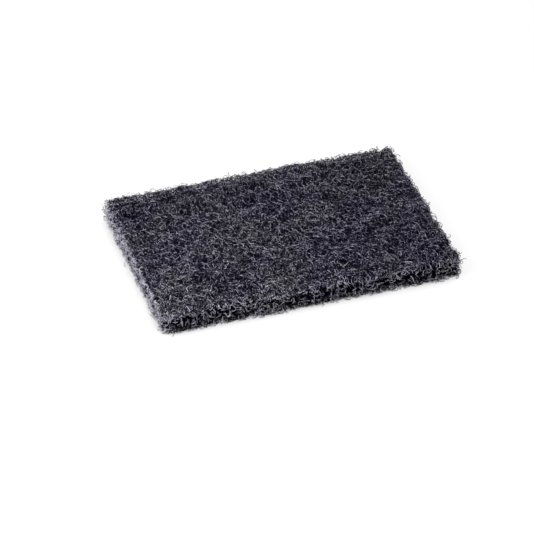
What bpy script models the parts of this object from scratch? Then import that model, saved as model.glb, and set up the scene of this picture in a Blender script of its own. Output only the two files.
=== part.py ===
"""Scouring pad: one die-cut block of stiff, curly fibre, bonded where the strands cross.

The pad lies flat, +Z up, long side along X. The origin is on the surface that it
lies on, under the middle of the pad. Lengths are in metres.

The web is drawn as a net of strands. Each cell of the net is a pore: a pit between
the strands round it. Strands wander, rise and dip, some pores run into the next one,
some are crossed by another strand, and a few places are matted shut. The cut sides
are ragged, and the face that the pad lies on is pressed level.
"""

import math
import random

import bmesh
import bpy
from mathutils import Vector, noise
from mathutils.bvhtree import BVHTree

# The block as it is cut, measured over the ragged ends of the strands
LENGTH = 0.150
WIDTH = 0.100
THICKNESS = 0.010
CORNER_RADIUS = 0.004
RIM_SET_BACK = 0.0005
RIM_DROP = 0.0004

# The net of strands on every face: a larger pad than this is drawn with wider pores
STRAND_PITCH = 0.0036
LAYER_PITCH = 0.0033
MOST_PORES = 1160

# Pores, as pits under the crests of the strands
PORE_DEPTH = 0.0026
SIDE_PORE_DEPTH = 0.0022
RIM_PORE_DEPTH = 0.0014
SHALLOWEST_PORE = 0.6
JOINED_PORE_GAIN = 1.2
DEEPEST_SHARE = 0.26

# How far strands wander from the plain net, and over what length. They keep calmer
# near the rim of a face.
STRAND_SWING = 0.0030
SWING_LENGTH = 0.0120
STRAND_KINK = 0.0014
KINK_LENGTH = 0.0026
STRAND_RISE = 0.0009
RISE_LENGTH = 0.0031
FACE_SWELL = 0.0010
SWELL_LENGTH = 0.034
RAGGED_CUT = 0.0016
RAGGED_LENGTH = 0.0030
CALM_RIM = 0.0080

# Shares of the pores that differ from a plain one
JOINED_PORES = 0.24
CROSSED_PORES = 0.16
MATTED_PORES = 0.04
CUT_TUFTS = 0.16
TOP_TUFTS = 0.05
TUFT_HEIGHT = 0.0010

# Rounds of drawing back the pits that would cut into each other
MOST_EASINGS = 8

# A level patch in the middle of the underside, on which the pad can be mounted
REST_PATCH = 0.012

# What counts as level, as a height, and as steep, as the upright part of a normal
LEVEL = 1e-6
STEEP = 0.7

SEED = 41
SWING_PLACE = Vector((3.1, 7.7, 1.9))
KINK_PLACE = Vector((23.3, 9.1, 6.1))
RISE_PLACE = Vector((11.3, 2.9, 5.3))
SWELL_PLACE = Vector((5.9, 13.1, 8.3))
RAGGED_PLACE = Vector((17.9, 4.7, 12.1))
NEXT_AXIS = Vector((31.7, 19.3, 27.1))


def clear_scene():
    for old in list(bpy.data.objects):
        bpy.data.objects.remove(old, do_unlink=True)


def web_material():
    """Charcoal nylon fibre under a matt coat of resin and grit."""
    made = bpy.data.materials.new("coated_fibre")
    made.use_nodes = True
    shader = made.node_tree.nodes["Principled BSDF"]
    shader.inputs["Base Color"].default_value = (0.045, 0.046, 0.056, 1.0)
    shader.inputs["Metallic"].default_value = 0.0
    shader.inputs["Roughness"].default_value = 0.62
    return made


def block_height():
    """The height of the plain block, which the crests of the strands rise above."""
    return THICKNESS - STRAND_RISE / 2


def cut_block():
    """The plain block, its faces ruled into the cells of the net."""
    sides = (LENGTH - RAGGED_CUT, WIDTH - RAGGED_CUT, block_height())
    pitch = max(STRAND_PITCH, math.sqrt(LENGTH * WIDTH / MOST_PORES))
    pitches = (pitch, pitch, LAYER_PITCH)
    block = bmesh.new()
    bmesh.ops.create_cube(block, size=1.0)
    bmesh.ops.scale(block, vec=sides, verts=block.verts)
    for axis in range(3):
        across = Vector(1.0 if axis == other else 0.0 for other in range(3))
        cells = max(2, round(sides[axis] / pitches[axis]))
        for cut in range(1, cells):
            place = across * (sides[axis] * (cut / cells - 0.5))
            skin = block.verts[:] + block.edges[:] + block.faces[:]
            bmesh.ops.bisect_plane(block, geom=skin, plane_co=place, plane_no=across)
    bmesh.ops.translate(block, vec=(0, 0, block_height() / 2), verts=block.verts)
    return block


def from_side(place):
    """How far inside the cut sides a point of the plain block is, along X and along Y."""
    half = Vector((LENGTH - RAGGED_CUT, WIDTH - RAGGED_CUT)) / 2
    return half - Vector((abs(place.x), abs(place.y)))


def round_corner(place):
    """Draws a point near an upright corner in to the die's corner radius."""
    past = Vector((CORNER_RADIUS, CORNER_RADIUS)) - from_side(place)
    core = Vector((abs(place.x), abs(place.y))) - past
    if past.x <= 0 or past.y <= 0:
        return place
    past *= max(past) / past.length
    place.x = (core.x + past.x) * (1 if place.x > 0 else -1)
    place.y = (core.y + past.y) * (1 if place.y > 0 else -1)
    return place


def wander(place, where, length, reach):
    """A smooth wander of up to about half of reach each way, over the given length."""
    spot = where + place / length
    return Vector(noise.noise(spot + NEXT_AXIS * axis) for axis in range(3)) * reach


def outward(place):
    """The level direction out of the cut side that a point lies on, or nothing inside it."""
    inside = from_side(place)
    out = Vector((0.0, 0.0, 0.0))
    if inside.x < LEVEL:
        out.x = 1 if place.x > 0 else -1
    if inside.y < LEVEL:
        out.y = 1 if place.y > 0 else -1
    return out.normalized()


def settle_strands(block):
    """Moves each crossing of the net to where it lies on the finished pad."""
    for corner in block.verts:
        plain = corner.co.copy()
        out = outward(plain)
        under = plain.z < LEVEL
        over = plain.z > block_height() - LEVEL
        swing = wander(plain, SWING_PLACE, SWING_LENGTH, STRAND_SWING)
        swing += wander(plain, KINK_PLACE, KINK_LENGTH, STRAND_KINK)
        rise = wander(plain, RISE_PLACE, RISE_LENGTH, STRAND_RISE)
        swell = wander(plain, SWELL_PLACE, SWELL_LENGTH, FACE_SWELL)
        place = round_corner(plain.copy())
        if out.length > 0:
            along = Vector((-out.y, out.x, 0.0))
            ragged = wander(plain, RAGGED_PLACE, RAGGED_LENGTH, RAGGED_CUT)
            place += along * swing.dot(along) / 2
            place += out * (swell.x / 2 + ragged.x)
            if under or over:
                place -= out * RIM_SET_BACK
            else:
                place.z += rise.z
        else:
            calm = min(1.0, min(from_side(plain)) / CALM_RIM)
            place += Vector((swing.x, swing.y, 0.0)) * calm
        if over:
            place.z += swell.z + rise.z - (RIM_DROP if out.length > 0 else 0.0)
        corner.co = place


def on_cut_side(pore):
    return abs(pore.normal.z) < STEEP


def near_rim(pore):
    """True for a pore that has the rim of a face as one of its strands."""
    return any(on_cut_side(other) != on_cut_side(pore)
               for strand in pore.edges for other in strand.link_faces)


def in_rest_patch(pore):
    place = middle(pore)
    half = REST_PATCH / 2
    return abs(place.z) < LEVEL and abs(place.x) < half and abs(place.y) < half


def can_join(strand):
    """True for a strand between two plain pores of one face."""
    pair = strand.link_faces
    plain = all(len(pore.verts) == 4 for pore in pair)
    return len(pair) == 2 and plain and pair[0].normal.dot(pair[1].normal) > STEEP


def middle(part):
    """The middle of a strand or a pore."""
    return sum((corner.co for corner in part.verts), Vector()) / len(part.verts)


def in_order(parts, place=middle):
    """Sorts parts of the net by where they are, so that each build meets them alike."""
    return sorted(parts, key=lambda part: tuple(round(value, 7) for value in place(part)))


def opposite(pore, corner):
    """A corner of a four-sided pore, and the one across from it."""
    corners = list(pore.verts)
    return [corner, corners[(corners.index(corner) + 2) % 4]]


def vary_pores(block, chance):
    """Lets some pores run together, and lays another strand across some others."""
    block.normal_update()
    taken = set()
    lost = []
    for strand in in_order(block.edges):
        pair = set(strand.link_faces)
        if chance.random() < JOINED_PORES and can_join(strand) and not pair & taken:
            lost.append(strand)
            taken |= pair
    bmesh.ops.dissolve_edges(block, edges=lost, use_verts=False)
    for pore in in_order(block.faces):
        if len(pore.verts) == 4 and chance.random() < CROSSED_PORES:
            ends = in_order(pore.verts, lambda corner: corner.co)
            bmesh.ops.connect_verts(block, verts=opposite(pore, ends[0]))


def sink_pores(block, chance):
    """Sinks each pore to a pit, bar those that are matted shut or stand up as a tuft.

    Returns the tip of each pit or tuft, with its way out of the plain face.
    """
    block.normal_update()
    deepest = min(PORE_DEPTH, THICKNESS * DEEPEST_SHARE)
    plans = []
    for pore in in_order(block.faces):
        under = abs(middle(pore).z) < LEVEL
        tufts = 0.0 if under else CUT_TUFTS if on_cut_side(pore) else TOP_TUFTS
        share = chance.uniform(SHALLOWEST_PORE, 1.0)
        kind = chance.random()
        depth = deepest * share
        if near_rim(pore):
            depth = min(RIM_PORE_DEPTH, deepest) * share
        elif on_cut_side(pore):
            depth = min(SIDE_PORE_DEPTH, deepest) * share
        elif len(pore.verts) > 4:
            depth *= JOINED_PORE_GAIN
        if kind < tufts:
            depth = -TUFT_HEIGHT * share
        matted = tufts <= kind < tufts + MATTED_PORES
        if not matted and not in_rest_patch(pore):
            plans.append((pore, depth))
    tips = []
    for pore, depth in plans:
        way = pore.normal * -depth
        made = bmesh.ops.poke(block, faces=[pore], center_mode="MEAN")
        tip = made["verts"][0]
        tip.co += way
        tips.append((tip, way))
    return tips


def ease_crossings(block, tips):
    """Draws back a pit or a tuft that would cut into the one beside it."""
    reach = dict(tips)
    for _ in range(MOST_EASINGS):
        block.faces.ensure_lookup_table()
        tree = BVHTree.FromBMesh(block)
        crossed = set()
        for pair in tree.overlap(tree):
            first, second = (set(block.faces[index].verts) for index in pair)
            if not first & second:
                crossed |= first | second
        for tip in crossed & set(reach):
            reach[tip] = reach[tip] / 2
            tip.co -= reach[tip]
        if not crossed:
            break


def centre_on_origin(block):
    """Puts the middle of the ragged outline over the origin."""
    low = Vector(min(corner.co[axis] for corner in block.verts) for axis in range(3))
    high = Vector(max(corner.co[axis] for corner in block.verts) for axis in range(3))
    shift = Vector((-(low.x + high.x) / 2, -(low.y + high.y) / 2, -low.z))
    bmesh.ops.translate(block, vec=shift, verts=block.verts)


def fibre_pad():
    chance = random.Random(SEED)
    block = cut_block()
    settle_strands(block)
    vary_pores(block, chance)
    ease_crossings(block, sink_pores(block, chance))
    centre_on_origin(block)
    bmesh.ops.triangulate(block, faces=block.faces)
    mesh = bpy.data.meshes.new("fibre_pad")
    block.to_mesh(mesh)
    block.free()
    mesh.materials.append(web_material())
    pad = bpy.data.objects.new("fibre_pad", mesh)
    bpy.context.scene.collection.objects.link(pad)
    return pad


clear_scene()
fibre_pad()
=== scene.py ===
import math

import bpy
import numpy as np
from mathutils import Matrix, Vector


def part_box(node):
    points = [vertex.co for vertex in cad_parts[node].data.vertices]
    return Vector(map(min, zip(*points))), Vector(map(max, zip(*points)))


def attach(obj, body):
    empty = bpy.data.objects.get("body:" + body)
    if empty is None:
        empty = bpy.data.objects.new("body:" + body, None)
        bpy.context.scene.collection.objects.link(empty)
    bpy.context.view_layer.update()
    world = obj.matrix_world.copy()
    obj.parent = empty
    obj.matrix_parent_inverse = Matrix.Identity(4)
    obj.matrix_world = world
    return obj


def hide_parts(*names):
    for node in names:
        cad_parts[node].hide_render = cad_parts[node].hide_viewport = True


# Metres throughout, in the row frame: +X along the pad, +Z up, the floor at 0.
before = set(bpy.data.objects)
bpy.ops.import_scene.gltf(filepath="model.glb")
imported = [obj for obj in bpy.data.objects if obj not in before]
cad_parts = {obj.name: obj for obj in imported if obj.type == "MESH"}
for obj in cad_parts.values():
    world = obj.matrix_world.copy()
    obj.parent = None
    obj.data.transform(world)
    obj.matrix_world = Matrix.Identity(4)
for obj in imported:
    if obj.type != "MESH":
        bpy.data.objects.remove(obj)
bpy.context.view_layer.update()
solidLow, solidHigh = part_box("fibre_pad")


# The die-cut block, whose outline and top every piece follows

blockSettings = {
    "halfLength": (solidHigh.x - solidLow.x) / 2 - 0.0003,  # just inside the solid's tufts
    "halfWidth": (solidHigh.y - solidLow.y) / 2 + 0.0009,  # and just past them at the long cuts
    "thickness": 0.0103,  # the mean, 0.7 mm under the solid's highest tuft
    "cornerRadius": 0.0022,
    "ragged": 0.0004,  # the cut wanders in long waves
    "raggedLength": 0.009,
    "raggedSeed": 5,
    "frayed": 0.0005,  # and in short ones
    "frayedLength": 0.0028,
    "frayedSeed": 6,
    "swell": 0.00035,  # the top rises and falls
    "swellLength": 0.012,
    "swellSeed": 9,
    "rimDrop": 0.0006,  # and rounds down near the cut
    "rimWidth": 0.0028,
    "rimEnd": 1.3,  # in rim widths from where the drop starts, so a little past the cut
    "rippleWaves": 14,
    "rippleSpread": (0.7, 1.5),
}


def ripple(x, y, length, seed):
    # A smooth random field of unit spread: a sum of cosines, each with a direction, a start and a
    # wavelength of its own, near the given length.
    count = blockSettings["rippleWaves"]
    dice = np.random.default_rng(seed)
    total = np.zeros_like(x)
    for _ in range(count):
        way = dice.uniform(0, 2 * math.pi)
        pitch = 2 * math.pi / (length * dice.uniform(*blockSettings["rippleSpread"]))
        place = x * math.cos(way) + y * math.sin(way)
        total += np.cos(pitch * place + dice.uniform(0, 2 * math.pi))
    return total * math.sqrt(2 / count)


def insideCut(x, y):
    # Distance in from the cut, which is a rectangle with rounded corners whose sides wander.
    s = blockSettings
    past = np.stack([np.abs(x) - s["halfLength"] + s["cornerRadius"],
                     np.abs(y) - s["halfWidth"] + s["cornerRadius"]])
    beyond = np.hypot(*np.maximum(past, 0)) + np.minimum(past.max(0), 0)
    wander = s["ragged"] * ripple(x, y, s["raggedLength"], s["raggedSeed"])
    wander = wander + s["frayed"] * ripple(x, y, s["frayedLength"], s["frayedSeed"])
    return s["cornerRadius"] - beyond + wander


def topHeight(x, y):
    # The gently uneven top of the web, less a drop that grows as the square of the way to the cut.
    s = blockSettings
    drop = s["rimDrop"] * np.clip(1 - insideCut(x, y) / s["rimWidth"], 0, s["rimEnd"]) ** 2
    return s["thickness"] + s["swell"] * ripple(x, y, s["swellLength"], s["swellSeed"]) - drop


# What all materials and pieces share


def linear(text):
    # An sRGB hex colour as linear red, green and blue, each by the sRGB curve, and full alpha.
    parts = [int(text[i:i + 2], 16) / 255 for i in (1, 3, 5)]
    curved = [p / 12.92 if p <= 0.04045 else ((p + 0.055) / 1.055) ** 2.4 for p in parts]
    return (*curved, 1.0)


def node(tree, kind, links=None, **settings):
    # Adds one node. A setting that names an input sets it, and any other sets the node itself.
    made = tree.nodes.new(kind)
    for name, value in settings.items():
        title = name.replace("_", " ")
        if title in made.inputs:
            made.inputs[title].default_value = value
        else:
            setattr(made, name, value)
    for name, source in (links or {}).items():
        tree.links.new(source, made.inputs[name])
    return made


def blankMaterial(name):
    # A material with no nodes yet, and its node tree.
    made = bpy.data.materials.new(name)
    made.use_nodes = True
    made.node_tree.nodes.clear()
    return made, made.node_tree


def setRamp(ramp, marks):
    # Fills a colour ramp with places from 0 to 1 and the colour at each.
    elements = ramp.color_ramp.elements
    while len(elements) < len(marks):
        elements.new(0.5)
    for element, (at, colour) in zip(elements, marks):
        element.position = at
        element.color = colour


def addToScene(name, mesh, material):
    # An object with this mesh and material, at the origin.
    mesh.materials.append(material)
    made = bpy.data.objects.new(name, mesh)
    bpy.context.scene.collection.objects.link(made)
    return made


def addPiece(name, mesh, material):
    # Puts a piece of the web in the scene, in place of the solid.
    piece = addToScene(name, mesh, material)
    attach(piece, "root")
    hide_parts("fibre_pad")
    print(f"{piece.name}: {len(mesh.loops) - 2 * len(mesh.polygons)} triangles")


# The middle of the web, where strands can't be told apart: one dark, lumpy mass, its near-black colour
# painted shade

middleSettings = {
    "sideInset": 0.0020,
    "topInset": 0.0016,
    "baseInset": 0.0010,
    "lump": 0.0004,
    "baseShare": 0.3,  # how lumpy its base is, beside its top
    "lumpLength": 0.004,
    "topSeed": 21,
    "baseSeed": 22,
    "cell": 0.0024,
    "stray": 0.0002,  # how far its grid strays from straight
    "straySeed": 3,
    "calmShare": 1 / 8,  # the outer part of each half that is smooth and rounded
    "rimSink": 0.0012,
    "overlap": 0.0002,  # how deep strands may run into it
    # Painted shade: both colours stand for strands deep in the web, darkened for the shade there.
    "deepest": "#060410",
    "strand": "#151322",
    "netSize": 1.6,  # mm, the pores between the deeper strands
    "netLine": 0.16,  # half the width of those strands, as a share of that
    "bump": 0.8,
    "bumpDistance": 0.0003,
    "roughness": 0.85,
    "specular": 0.03,
}


def middleMaterial():
    # The same nylon web further in, its near-black colour painted shade, as hardly any light comes
    # back. It is quite dull, with a faint net where deeper strands cross.
    s = middleSettings
    made, tree = blankMaterial("deepWebPaintedShade")
    place = node(tree, "ShaderNodeTexCoord")
    net = node(tree, "ShaderNodeTexVoronoi", {"Vector": place.outputs["Object"]},
               feature="DISTANCE_TO_EDGE", Scale=1000 / s["netSize"])
    near = node(tree, "ShaderNodeMapRange", {"Value": net.outputs["Distance"]},
                From_Min=0.0, From_Max=s["netLine"], To_Min=1.0, To_Max=0.0)
    ramp = node(tree, "ShaderNodeValToRGB", {"Fac": near.outputs["Result"]})
    setRamp(ramp, [(0.0, linear(s["deepest"])), (1.0, linear(s["strand"]))])
    bump = node(tree, "ShaderNodeBump", {"Height": near.outputs["Result"]},
                Strength=s["bump"], Distance=s["bumpDistance"])
    shader = node(tree, "ShaderNodeBsdfPrincipled",
                  {"Base Color": ramp.outputs["Color"], "Normal": bump.outputs["Normal"]},
                  Roughness=s["roughness"], Specular_IOR_Level=s["specular"])
    node(tree, "ShaderNodeOutputMaterial", {"Surface": shader.outputs[0]})
    return made


def insideMiddle(x, y, z):
    # How deep a point is inside the dark middle: the least of its depths under side, top and base.
    s = middleSettings
    sides = insideCut(x, y) - s["sideInset"]
    top = topHeight(x, y) - s["topInset"] - z
    base = z - s["baseInset"]
    return np.minimum(np.minimum(sides, top), base)


def makeMiddle():
    # A closed slab: the uneven top less an inset and lumps, a lumpy base, and a wall at their rims.
    s = middleSettings
    halfX = blockSettings["halfLength"] - s["sideInset"]
    halfY = blockSettings["halfWidth"] - s["sideInset"]
    columns, rows = int(2 * halfX / s["cell"]), int(2 * halfY / s["cell"])
    u, v = np.meshgrid(np.linspace(-1, 1, columns + 1), np.linspace(-1, 1, rows + 1), indexing="ij")
    calm = np.minimum(1, np.minimum(1 - np.abs(u), 1 - np.abs(v)) / s["calmShare"])
    dice = np.random.default_rng(s["straySeed"])
    x = u * halfX + dice.normal(0, s["stray"], u.shape)
    y = v * halfY + dice.normal(0, s["stray"], v.shape)
    topLumps = s["lump"] * ripple(x, y, s["lumpLength"], s["topSeed"])
    baseLumps = s["baseShare"] * s["lump"] * ripple(x, y, s["lumpLength"], s["baseSeed"])
    sink = s["rimSink"] * (1 - calm)
    top = topHeight(x, y) - s["topInset"] + topLumps * calm - sink
    base = s["baseInset"] + baseLumps * calm + sink
    points = np.concatenate([np.stack([x, y, z], 2).reshape(-1, 3) for z in (top, base)])
    index = np.arange(x.size).reshape(x.shape)
    a, b, c, d = index[:-1, :-1], index[1:, :-1], index[1:, 1:], index[:-1, 1:]
    upper = np.stack([a, b, c, d], 2).reshape(-1, 4)
    lower = np.stack([a, d, c, b], 2).reshape(-1, 4) + x.size
    rim = np.concatenate([index[:-1, 0], index[-1, :-1], index[:0:-1, -1], index[0, :0:-1]])
    after = np.roll(rim, -1)
    wall = np.stack([rim + x.size, after + x.size, after, rim], 1)
    faces = np.concatenate([upper, lower, wall])
    mesh = bpy.data.meshes.new("deep_web")
    mesh.from_pydata(points.tolist(), [], faces.tolist())
    mesh.polygons.foreach_set("use_smooth", np.ones(len(faces), bool))
    addPiece("deep_web", mesh, middleMaterial())


# The strands' material

fibreSettings = {
    "tones": [  # from the deepest strand, in painted shade, to the lightest fresh cut, partly painted highlight
        (0.0, "#060313"),
        (0.35, "#131024"),
        (0.6, "#4b4958"),
        (0.85, "#9c99a8"),
        (1.0, "#b8b5c2"),
    ],
    "gritSize": 2 / 3,  # mm, where real grit is about 0.1 mm and wouldn't show
    "gritDetail": (2.0, 0.6),  # finer layers of it, and how strong each one is
    "gritRange": (0.3, 0.7),  # the part of the noise's range that it uses
    "gritShare": 0.45,
    "patchSize": 22,  # mm
    "patchDetail": 1.0,
    "patchRange": (0.35, 0.65),
    "patchBlue": (0.7, 1.2),
    "roughness": (0.38, 0.62),
    "specular": 0.05,
    "bump": 0.35,
    "bumpDistance": 0.00008,
}


def fibreMaterial():
    # Crimped nylon strands, sprayed with charcoal resin that holds fine abrasive grit, and cured.
    # The coat is dull and dark. Grit breaks up each strand's tone and gloss, and the dye took
    # unevenly, so the pad is bluer in some places and plainer in others.
    s = fibreSettings
    made, tree = blankMaterial("gritCoatedNylon")
    # The tone attribute carries painted shade, darker with depth, and lighter cut ends, partly paler
    # nylon and partly painted highlight.
    tone = node(tree, "ShaderNodeAttribute", attribute_name="tone")
    place = node(tree, "ShaderNodeTexCoord")
    # Drawn about seven times as coarse as real grit, or a bit over one pixel of the render
    grit = node(tree, "ShaderNodeTexNoise", {"Vector": place.outputs["Object"]},
                Scale=1000 / s["gritSize"], Detail=s["gritDetail"][0], Roughness=s["gritDetail"][1])
    spread = node(tree, "ShaderNodeMapRange", {"Value": grit.outputs["Fac"]},
                  From_Min=s["gritRange"][0], From_Max=s["gritRange"][1],
                  To_Min=-s["gritShare"], To_Max=s["gritShare"])
    mixed = node(tree, "ShaderNodeMath", {0: tone.outputs["Fac"], 1: spread.outputs["Result"]},
                 operation="ADD", use_clamp=True)
    ramp = node(tree, "ShaderNodeValToRGB", {"Fac": mixed.outputs[0]})
    setRamp(ramp, [(at, linear(colour)) for at, colour in s["tones"]])
    patch = node(tree, "ShaderNodeTexNoise", {"Vector": place.outputs["Object"]},
                 Scale=1000 / s["patchSize"], Detail=s["patchDetail"])
    blue = node(tree, "ShaderNodeMapRange", {"Value": patch.outputs["Fac"]},
                From_Min=s["patchRange"][0], From_Max=s["patchRange"][1],
                To_Min=s["patchBlue"][0], To_Max=s["patchBlue"][1])
    dyed = node(tree, "ShaderNodeHueSaturation",
                {"Color": ramp.outputs["Color"], "Saturation": blue.outputs["Result"]})
    rough = node(tree, "ShaderNodeMapRange", {"Value": grit.outputs["Fac"]},
                 From_Min=s["gritRange"][0], From_Max=s["gritRange"][1],
                 To_Min=s["roughness"][0], To_Max=s["roughness"][1])
    bump = node(tree, "ShaderNodeBump", {"Height": grit.outputs["Fac"]},
                Strength=s["bump"], Distance=s["bumpDistance"])
    shader = node(tree, "ShaderNodeBsdfPrincipled",
                  {"Base Color": dyed.outputs["Color"], "Roughness": rough.outputs["Result"],
                   "Normal": bump.outputs["Normal"]},
                  Specular_IOR_Level=s["specular"])
    node(tree, "ShaderNodeOutputMaterial", {"Surface": shader.outputs[0]})
    return made


# Where the strands run

strandSettings = {
    "blockCount": 14600,  # strands all through the block, those on each face and those at the cut
    "topCount": 5500,
    "baseCount": 3000,
    "rimCount": 4700,
    "rimDepth": 0.0024,
    "bunches": ((37, 0.35), (91, 0.3)),  # how many round the cut, and how marked
    "faceDepth": (0.0001, 0.0006),
    "faceClimb": 0.5,  # how freely a strand on a face climbs, beside one in the block
    "crossBias": 1.45,  # how much more strands run across the pad than along it
    "points": 15,
    "step": 0.0013,
    "margin": 0.007,  # how far outside the block strands start
    "driftRadius": (0.006, 0.030),
    "swing": (0.45, 1.1),  # radians, as are kink and climb
    "swingLength": (0.006, 0.015),
    "kink": (0.1, 0.5),
    "kinkLength": (0.004, 0.008),
    "climb": (0.35, 1.0),
    "climbLength": (0.004, 0.010),
    "softFold": 0.0003,  # the reach of the soft turn where a strand meets a face
    "radius": (0.00011, 0.00016),
    "lump": 0.18,  # how much the radius varies along a strand, as a share
    "thinnest": 0.6,  # and its limits, as shares of the least and the greatest radius
    "thickest": 1.7,
    "offFloor": 0.00002,
    "looseReach": 0.0008,  # how far strands end outside the cut, on average and at most
    "loosest": 0.0018,
    "cutShort": 0.0012,
    "shortestRun": 3,
    "pieces": 6,
    "seed": 12,
}

# Steps that fill a square and a block evenly: powers of 1/g, where g ** 3 or g ** 4 is g + 1
squareSteps = (0.7548777, 0.5698403)
blockSteps = (0.8191725, 0.6710436, 0.5497005)


def evenSpread(count, steps):
    # Points in the unit square or cube: each next one moves on by the steps, and wraps round.
    return (0.5 + np.array(steps) * np.arange(1, count + 1)[:, None]) % 1


def aroundCut(count, inset, dice):
    # Places spread round the cut in loose bunches, each set in from it by a random length, with
    # its height from 0 to 1 and its way out.
    x, y = blockSettings["halfLength"], blockSettings["halfWidth"]
    corners = np.array([(-x, -y), (x, -y), (x, y), (-x, y), (-x, -y)])
    marks = np.concatenate([[0], np.cumsum(np.abs(np.diff(corners, axis=0)).sum(1))])
    around, height = evenSpread(count, squareSteps).T
    for waves, share in strandSettings["bunches"]:
        turn = 2 * math.pi * waves
        around = around + share / turn * np.sin(turn * around)
    around = around % 1 * marks[-1]
    side = np.searchsorted(marks, around, side="right") - 1
    outward = np.array([(0, -1), (1, 0), (0, 1), (-1, 0)])[side]
    level = np.stack([np.interp(around, marks, corners[:, axis]) for axis in (0, 1)], axis=1)
    return level - outward * dice.uniform(*inset, (count, 1)), height, outward


def strandMiddles(dice):
    # The middle of each strand, and how freely it climbs: some all through the block, some
    # pressed flat on the two faces, and some more along the cut.
    s = strandSettings
    thickness = blockSettings["thickness"]
    halves = np.array([blockSettings["halfLength"], blockSettings["halfWidth"]])
    block = evenSpread(s["blockCount"], blockSteps)
    block[:, 2] *= thickness
    topDepth = dice.uniform(*s["faceDepth"], (s["topCount"], 1))
    baseDepth = dice.uniform(*s["faceDepth"], (s["baseCount"], 1))
    top = np.hstack([evenSpread(s["topCount"], squareSteps), thickness - topDepth])
    base = np.hstack([evenSpread(s["baseCount"], squareSteps), baseDepth])
    spread = np.concatenate([block, top, base])
    spread[:, :2] = (2 * spread[:, :2] - 1) * (halves + s["margin"])
    level, height, _ = aroundCut(s["rimCount"], (0.0, s["rimDepth"]), dice)
    rim = np.column_stack([level, height * thickness])
    free = np.ones(len(spread) + len(rim))
    free[len(block):len(spread)] = s["faceClimb"]
    return np.concatenate([spread, rim]), free


def wave(count, along, sizes, lengths, dice):
    # A sine along each strand, with its own size, length and start.
    pitch = 2 * math.pi / dice.uniform(*lengths, (count, 1))
    size = dice.uniform(*sizes, (count, 1))
    return size * np.sin(pitch * along + dice.uniform(0, 2 * math.pi, (count, 1)))


def foldBack(value, limit, soft):
    # Mirrors what passes the limit, through a soft turn, so that a strand bends back there.
    return limit - np.sqrt((limit - value) ** 2 + soft ** 2)


def growStrands(dice):
    # Centre lines of the strands, as sums of short steps. Each heading drifts, swings and kinks,
    # and each slope rises and falls. More strands run across the pad than along it, as they leave
    # the web machine.
    s = strandSettings
    middles, free = strandMiddles(dice)
    mixed = dice.permutation(len(middles))
    middles, free = middles[mixed], free[mixed, None]
    count = len(middles)
    along = np.arange(s["points"]) * s["step"]
    side = dice.choice([-1, 1], (count, 1))
    drift = side / np.exp(dice.uniform(*np.log(s["driftRadius"]), (count, 1)))
    heading = dice.uniform(0, 2 * math.pi, (count, 1)) + drift * along
    heading += wave(count, along, s["swing"], s["swingLength"], dice)
    heading += wave(count, along, s["kink"], s["kinkLength"], dice)
    slope = wave(count, along, s["climb"], s["climbLength"], dice)
    slope = free * (slope + wave(count, along, s["kink"], s["kinkLength"], dice))
    forward, across = np.cos(heading), s["crossBias"] * np.sin(heading)
    level = np.cos(slope) / np.hypot(forward, across)
    lines = []
    for axis, way in enumerate((forward * level, across * level, np.sin(slope))):
        line = np.cumsum(way * s["step"], axis=1)
        lines.append(line - line.mean(1, keepdims=True) + middles[:, axis:axis + 1])
    x, y, z = lines
    high = topHeight(x, y)
    z = z * high / blockSettings["thickness"]
    soft, low = s["softFold"], s["radius"][1] - s["softFold"]
    z = foldBack(-foldBack(-z, -low, soft), high + soft, soft)
    return np.stack([x, y, np.maximum(z, low + soft)], axis=2)


def keptPoints(path, dice):
    # Points inside the cut and outside the dark middle. Each strand ends a little short of the
    # cut or proud of it.
    s = strandSettings
    x, y, z = np.moveaxis(path, 2, 0)
    column = (len(path), 1)
    proud = np.minimum(dice.exponential(s["looseReach"], column), s["loosest"])
    short = dice.uniform(0, s["cutShort"], column)
    inCut = insideCut(x, y) + (proud - short) > 0
    return inCut & (insideMiddle(x, y, z) < middleSettings["overlap"])


def longRuns(kept, shortest):
    # Drops runs of kept points that have fewer segments than the given number.
    count, points = kept.shape
    flat = np.concatenate([kept, np.zeros((count, 1), bool)], axis=1).ravel()
    edges = np.flatnonzero(np.diff(np.concatenate([[False], flat]).astype(np.int8)))
    starts, ends = edges[::2], edges[1::2]
    good = ends - starts > shortest
    marks = np.zeros(len(flat) + 1, np.int32)
    np.add.at(marks, starts[good], 1)
    np.add.at(marks, ends[good], -1)
    return np.cumsum(marks)[:-1].reshape(count, points + 1)[:, :points].astype(bool)


# Hooks and loops that stand out round the cut

curlSettings = {
    "count": 1500,
    "inset": (0.0002, 0.0018),
    "upward": 1.4,  # over 1 brings more of them near the top
    "points": 8,
    "step": 0.0007,
    "lean": 0.7,  # how far they head away from straight out
    "bend": (0.0008, 0.0020),
    "standProud": 0.0015,
    "radius": (0.00015, 0.00020),
}


def growCurls(dice):
    # Centre lines of the curls: arcs that head out of the web near the cut and bend some other
    # way, with points at the radius times sine and one minus cosine of the turn.
    s = curlSettings
    level, height, outward = aroundCut(s["count"], s["inset"], dice)
    rise = blockSettings["thickness"] * (1 - height ** s["upward"])
    start = np.column_stack([level, rise])
    ahead = np.column_stack([outward, np.zeros(s["count"])])
    ahead = ahead + s["lean"] * dice.standard_normal(start.shape)
    ahead /= np.linalg.norm(ahead, axis=1, keepdims=True)
    aside = np.cross(ahead, dice.standard_normal(start.shape))
    aside /= np.linalg.norm(aside, axis=1, keepdims=True)
    bend = dice.uniform(*s["bend"], (s["count"], 1, 1))
    turn = np.arange(s["points"])[:, None] * s["step"] / bend
    path = start[:, None] + bend * (np.sin(turn) * ahead[:, None] + (1 - np.cos(turn)) * aside[:, None])
    high = topHeight(path[..., 0], path[..., 1]) + s["standProud"]
    folded = foldBack(path[..., 2], high, strandSettings["softFold"])
    path[..., 2] = np.maximum(folded, strandSettings["radius"][1])
    return path


# Strands as meshes

tubeSides = 3

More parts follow.
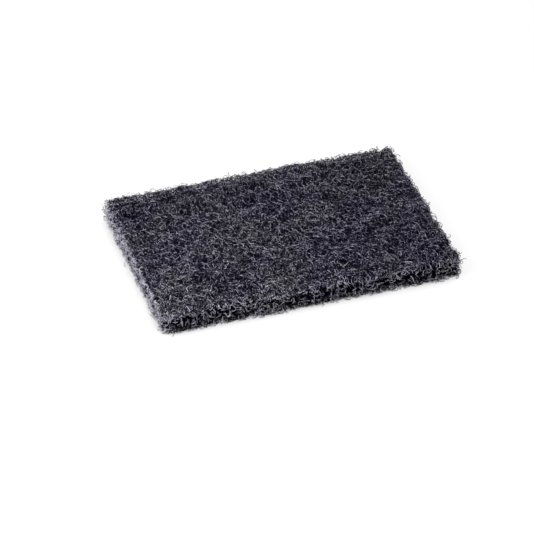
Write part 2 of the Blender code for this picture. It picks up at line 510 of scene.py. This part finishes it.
shadeSettings = {
    "tone": 0.55,  # at the outside, as a place on the material's ramp from 0 to 1
    "toneSpread": 0.15,  # from strand to strand
    "toneFlicker": 0.10,  # along a strand
    # Painted shade: strands are drawn darker the deeper they lie under the faces and behind the cut.
    "paintedDeepShade": 1.0,
    "deepAt": (0.0002, 0.0009),  # under the faces, where shade starts and where it is full
    "sideDeepAt": 0.0014,  # behind the cut, where it is full
    # Fresh cuts drawn lighter: partly paler nylon where the resin coat is cut, partly a painted
    # highlight on the strand ends.
    "cutPaleAndHighlight": 0.42,
    "cutLength": 0.0005,
}
mapSettings = {
    "columns": 16,
    "margins": (0.03, 0.1),  # empty shares of a cell at its ends and at its sides
    "capReach": 0.4,  # how far past a strand's end its cap is laid, in segments
}


def toneAlong(path, dice):
    # Lightest at the outside and at fresh cuts, where the cut nylon is paler and a painted highlight is
    # added; darker with depth, as painted shade; and different from strand to strand.
    s = shadeSettings
    x, y, z = np.moveaxis(path, 2, 0)
    gap = insideCut(x, y)
    start, full = s["deepAt"]
    depth = np.minimum(np.minimum(topHeight(x, y) - z, z), gap * full / s["sideDeepAt"])
    share = np.clip((depth - start) / (full - start), 0, 1)
    tone = s["tone"] + s["toneSpread"] * dice.standard_normal((len(path), 1))
    tone = tone + s["toneFlicker"] * dice.standard_normal(x.shape)
    return tone - s["paintedDeepShade"] * share + s["cutPaleAndHighlight"] * np.clip(1 - gap / s["cutLength"], 0, 1)


def squareTo(way):
    # A direction square to each strand, carried on from point to point so that its tube doesn't
    # twist.
    across = np.cross(way, np.array([0.0, 0.0, 1.0]))
    for at in range(1, way.shape[1]):
        carried = across[:, at - 1]
        across[:, at] = carried - way[:, at] * (carried * way[:, at]).sum(1, keepdims=True)
    return across / np.linalg.norm(across, axis=2, keepdims=True)


def mapPlace(strand, at, side, count):
    # Each strand has its own cell of the bake map, with its length along u and its sides along v.
    columns = mapSettings["columns"]
    rows = math.ceil(count / columns)
    ends, sides = mapSettings["margins"]
    u = (strand % columns + ends + (1 - 2 * ends) * at) / columns
    v = (strand // columns + sides + (1 - 2 * sides) * side / tubeSides) / rows
    return np.stack([u, v], axis=1)


def tubePoints(path, radius, dice):
    # Three points round each point of a strand, at its radius and a third of a turn apart.
    s = strandSettings
    count, points, _ = path.shape
    way = np.gradient(path, axis=1)
    way /= np.linalg.norm(way, axis=2, keepdims=True)
    across = squareTo(way)
    over = np.cross(across, way)
    thick = dice.uniform(*radius, (count, 1)) * (1 + s["lump"] * dice.standard_normal((count, points)))
    thick = np.clip(thick, s["thinnest"] * radius[0], s["thickest"] * radius[1])[:, :, None]
    first = dice.uniform(0, 2 * math.pi, (count, 1, 1))
    ring = []
    for k in range(tubeSides):
        angle = first + 2 * math.pi * k / tubeSides
        ring.append(path + thick * (np.cos(angle) * across + np.sin(angle) * over))
    corners = np.stack(ring, axis=2)
    corners[..., 2] = np.maximum(corners[..., 2], s["offFloor"])
    return corners.reshape(-1, 3)


def tubeFaces(kept):
    # Quads round each kept segment and a cap at each end of a run, facing outwards, and the place
    # of each of their corners in the bake map.
    count, points = kept.shape
    index = np.arange(count * points * tubeSides).reshape(count, points, tubeSides)
    strand, at = np.nonzero(kept[:, :-1] & kept[:, 1:])
    quads, quadMap = [], []
    for k in range(tubeSides):
        turns = ((1, 0), (1, 1), (0, 1), (0, 0))
        quads.append(np.stack([index[strand, at + n, (k + m) % tubeSides] for n, m in turns], 1))
        quadMap.append(np.stack([mapPlace(strand, (at + n) / (points - 1), k + m, count)
                                 for n, m in turns], 1))
    padded = np.pad(kept, ((0, 0), (1, 1)))
    caps, capMap = [], []
    for end, order in ((-1, (0, 1, 2)), (1, (2, 1, 0))):
        strand, at = np.nonzero(kept & ~padded[:, 1 + end:points + 1 + end])
        caps.append(index[strand, at][:, order])
        reach = [at + end * mapSettings["capReach"] * (k == 1) for k in order]
        capMap.append(np.stack([mapPlace(strand, past / (points - 1), k * tubeSides / 2, count)
                                for k, past in zip(order, reach)], 1))
    places = [np.concatenate(part).reshape(-1, 2) for part in (quadMap, capMap)]
    return np.concatenate(quads), np.concatenate(caps), np.concatenate(places)


def tubeMesh(name, path, kept, radius, dice):
    # Closed three-sided tubes along the kept runs of points, shaded smooth, with only the points
    # that their faces use. Each point has its tone, and each corner its place in the bake map.
    corners = tubePoints(path, radius, dice)
    quads, caps, places = tubeFaces(kept)
    tone = np.repeat(toneAlong(path, dice).ravel(), tubeSides)
    used, loops = np.unique(np.concatenate([quads.ravel(), caps.ravel()]), return_inverse=True)
    sizes = np.concatenate([np.full(len(quads), 4), np.full(len(caps), tubeSides)])
    mesh = bpy.data.meshes.new(name)
    mesh.vertices.add(len(used))
    mesh.vertices.foreach_set("co", corners[used].astype(np.float32).ravel())
    mesh.loops.add(len(loops))
    mesh.loops.foreach_set("vertex_index", loops.astype(np.int32))
    mesh.polygons.add(len(sizes))
    mesh.polygons.foreach_set("loop_start", (np.cumsum(sizes) - sizes).astype(np.int32))
    mesh.polygons.foreach_set("use_smooth", np.ones(len(sizes), bool))
    shade = mesh.attributes.new("tone", "FLOAT", "POINT")
    shade.data.foreach_set("value", tone[used].astype(np.float32))
    bakeMap = mesh.uv_layers.new(name="OFBake")
    bakeMap.uv.foreach_set("vector", places.astype(np.float32).ravel())
    mesh.update()
    mesh.validate()
    return mesh


def makeStrands():
    # All strands in a few pieces, and the curls as one more, from one run of random draws.
    s = strandSettings
    dice = np.random.default_rng(s["seed"])
    path = growStrands(dice)
    kept = longRuns(keptPoints(path, dice), s["shortestRun"])
    segments = (kept[:, :-1] & kept[:, 1:]).sum()
    print(f"strands: {s['step'] * segments:.0f} m in {segments} segments")
    groups = np.array_split(np.arange(len(path)), s["pieces"])
    parts = [(f"strands_{number}", path[group], kept[group], s["radius"])
             for number, group in enumerate(groups, 1)]
    curls = growCurls(dice)
    parts.append(("edge_curls", curls, np.ones(curls.shape[:2], bool), curlSettings["radius"]))
    material = fibreMaterial()
    for name, lines, shown, radius in parts:
        addPiece(name, tubeMesh(name, lines, shown, radius, dice), material)


# Floor and world, which are white where they are seen and soft as light

floorSettings = {
    "size": 3.0,
    "colour": "#585858",
    "glow": 0.97,
    "shadowReach": 0.03,
    "shadow": [  # painted shadow on the glow: how open a place is, and how light it looks
        (0.0, 0.05),
        (0.35, 0.5),
        (0.52, 0.9),
        (0.75, 0.96),
        (0.92, 0.985),
        (1.0, 1.0),
    ],
    "samples": 4,
}
worldSettings = {"colour": "#ffffff", "seen": 1.0, "light": 0.05}


def seenDirectly(tree):
    # 1 for a ray from the camera, a reflection or a clear material, and 0 for one that carries
    # diffuse light.
    path = node(tree, "ShaderNodeLightPath")
    seen = path.outputs["Is Camera Ray"]
    for other in ("Is Glossy Ray", "Is Transmission Ray"):
        either = node(tree, "ShaderNodeMath", {0: seen, 1: path.outputs[other]},
                      operation="ADD", use_clamp=True)
        seen = either.outputs[0]
    return seen


def floorMaterial():
    # Matt white card. It is grey as light, so that little bounces back to the pad, and a glow makes it
    # white where it is seen, less a painted soft shadow close to the pad, taken from how open each
    # place is.
    s = floorSettings
    made, tree = blankMaterial("matteWhiteFloor")
    diffuse = node(tree, "ShaderNodeBsdfDiffuse", Color=linear(s["colour"]))
    openness = node(tree, "ShaderNodeAmbientOcclusion",
                    samples=s["samples"], Distance=s["shadowReach"])
    shade = node(tree, "ShaderNodeValToRGB", {"Fac": openness.outputs["AO"]})
    setRamp(shade, [(at, (level, level, level, 1.0)) for at, level in s["shadow"]])
    glow = node(tree, "ShaderNodeMath", {0: seenDirectly(tree)}, operation="MULTIPLY")
    glow.inputs[1].default_value = s["glow"]
    white = node(tree, "ShaderNodeEmission",
                 {"Color": shade.outputs["Color"], "Strength": glow.outputs[0]})
    both = node(tree, "ShaderNodeAddShader", {0: diffuse.outputs[0], 1: white.outputs[0]})
    node(tree, "ShaderNodeOutputMaterial", {"Surface": both.outputs[0]})
    return made


def makeFloor():
    # One large level square at height 0.
    half = floorSettings["size"] / 2
    corners = [(-half, -half, 0), (half, -half, 0), (half, half, 0), (-half, half, 0)]
    mesh = bpy.data.meshes.new("floor")
    mesh.from_pydata(corners, [], [(0, 1, 2, 3)])
    floor = addToScene("floor", mesh, floorMaterial())
    print("floor made")


def makeWorld():
    # White all round where it is seen, and only a weak, even light otherwise.
    s = worldSettings
    world = bpy.data.worlds.new("studio")
    world.use_nodes = True
    tree = world.node_tree
    tree.nodes.clear()
    seen = node(tree, "ShaderNodeBackground", Color=linear(s["colour"]), Strength=s["seen"])
    lit = node(tree, "ShaderNodeBackground", Color=linear(s["colour"]), Strength=s["light"])
    mix = node(tree, "ShaderNodeMixShader",
               {0: seenDirectly(tree), 1: lit.outputs[0], 2: seen.outputs[0]})
    node(tree, "ShaderNodeOutputWorld", {"Surface": mix.outputs[0]})
    bpy.context.scene.world = world
    print("world made")


# Lamps: round ones, aimed at the pad, that light its left end most and its front least

lampSettings = {  # watts and metres
    "key": {"power": 2.3, "place": (-0.48, -0.14, 0.42), "size": 0.2},
    "fill": {"power": 0.28, "place": (-0.07, -0.09, 0.17), "size": 0.06},
    "side": {"power": 8.1, "place": (-0.9, 0.05, 0.14), "size": 0.4},
    "rear": {"power": 1.2, "place": (0.75, 0.75, 0.25), "size": 0.5},
}


def makeLamps():
    # Each lamp stands at its place and points at the origin.
    for name, s in lampSettings.items():
        lamp = bpy.data.lights.new(name, "AREA")
        lamp.energy = s["power"]
        lamp.shape = "DISK"
        lamp.size = s["size"]
        made = bpy.data.objects.new(name, lamp)
        made.location = s["place"]
        made.rotation_euler = (-Vector(s["place"])).to_track_quat("-Z", "Y").to_euler()
        bpy.context.scene.collection.objects.link(made)
    print(f"lamps: {len(lampSettings)}")


# Camera

cameraSettings = {
    "azimuth": -18.48,  # degrees, as is elevation
    "elevation": 36.0,
    "distance": 1.65,
    "lens": 220.35,  # mm, as is the sensor
    "sensor": 36,
    "aimRight": -0.0066,
    "aimUp": -0.0142,
    "nearest": 0.05,
    "furthest": 20,
}


def makeCamera():
    # Looks from the photo's angle, aimed so that the pad sits where it does in the photo.
    s = cameraSettings
    a, e = math.radians(s["azimuth"]), math.radians(s["elevation"])
    back = Vector((math.sin(a) * math.cos(e), -math.cos(a) * math.cos(e), math.sin(e)))
    right = Vector((math.cos(a), math.sin(a), 0))
    up = back.cross(right)
    camera = bpy.data.cameras.new("camera")
    camera.lens = s["lens"]
    camera.sensor_width = s["sensor"]
    camera.clip_start = s["nearest"]
    camera.clip_end = s["furthest"]
    made = bpy.data.objects.new("camera", camera)
    made.location = back * s["distance"]
    aim = right * s["aimRight"] + up * s["aimUp"]
    made.rotation_euler = (aim - made.location).to_track_quat("-Z", "Y").to_euler()
    bpy.context.scene.collection.objects.link(made)
    bpy.context.scene.camera = made
    print("camera made")


makeCamera()
makeStrands()
makeMiddle()
makeFloor()
makeLamps()
makeWorld()
bpy.context.scene.view_settings.view_transform = "Standard"
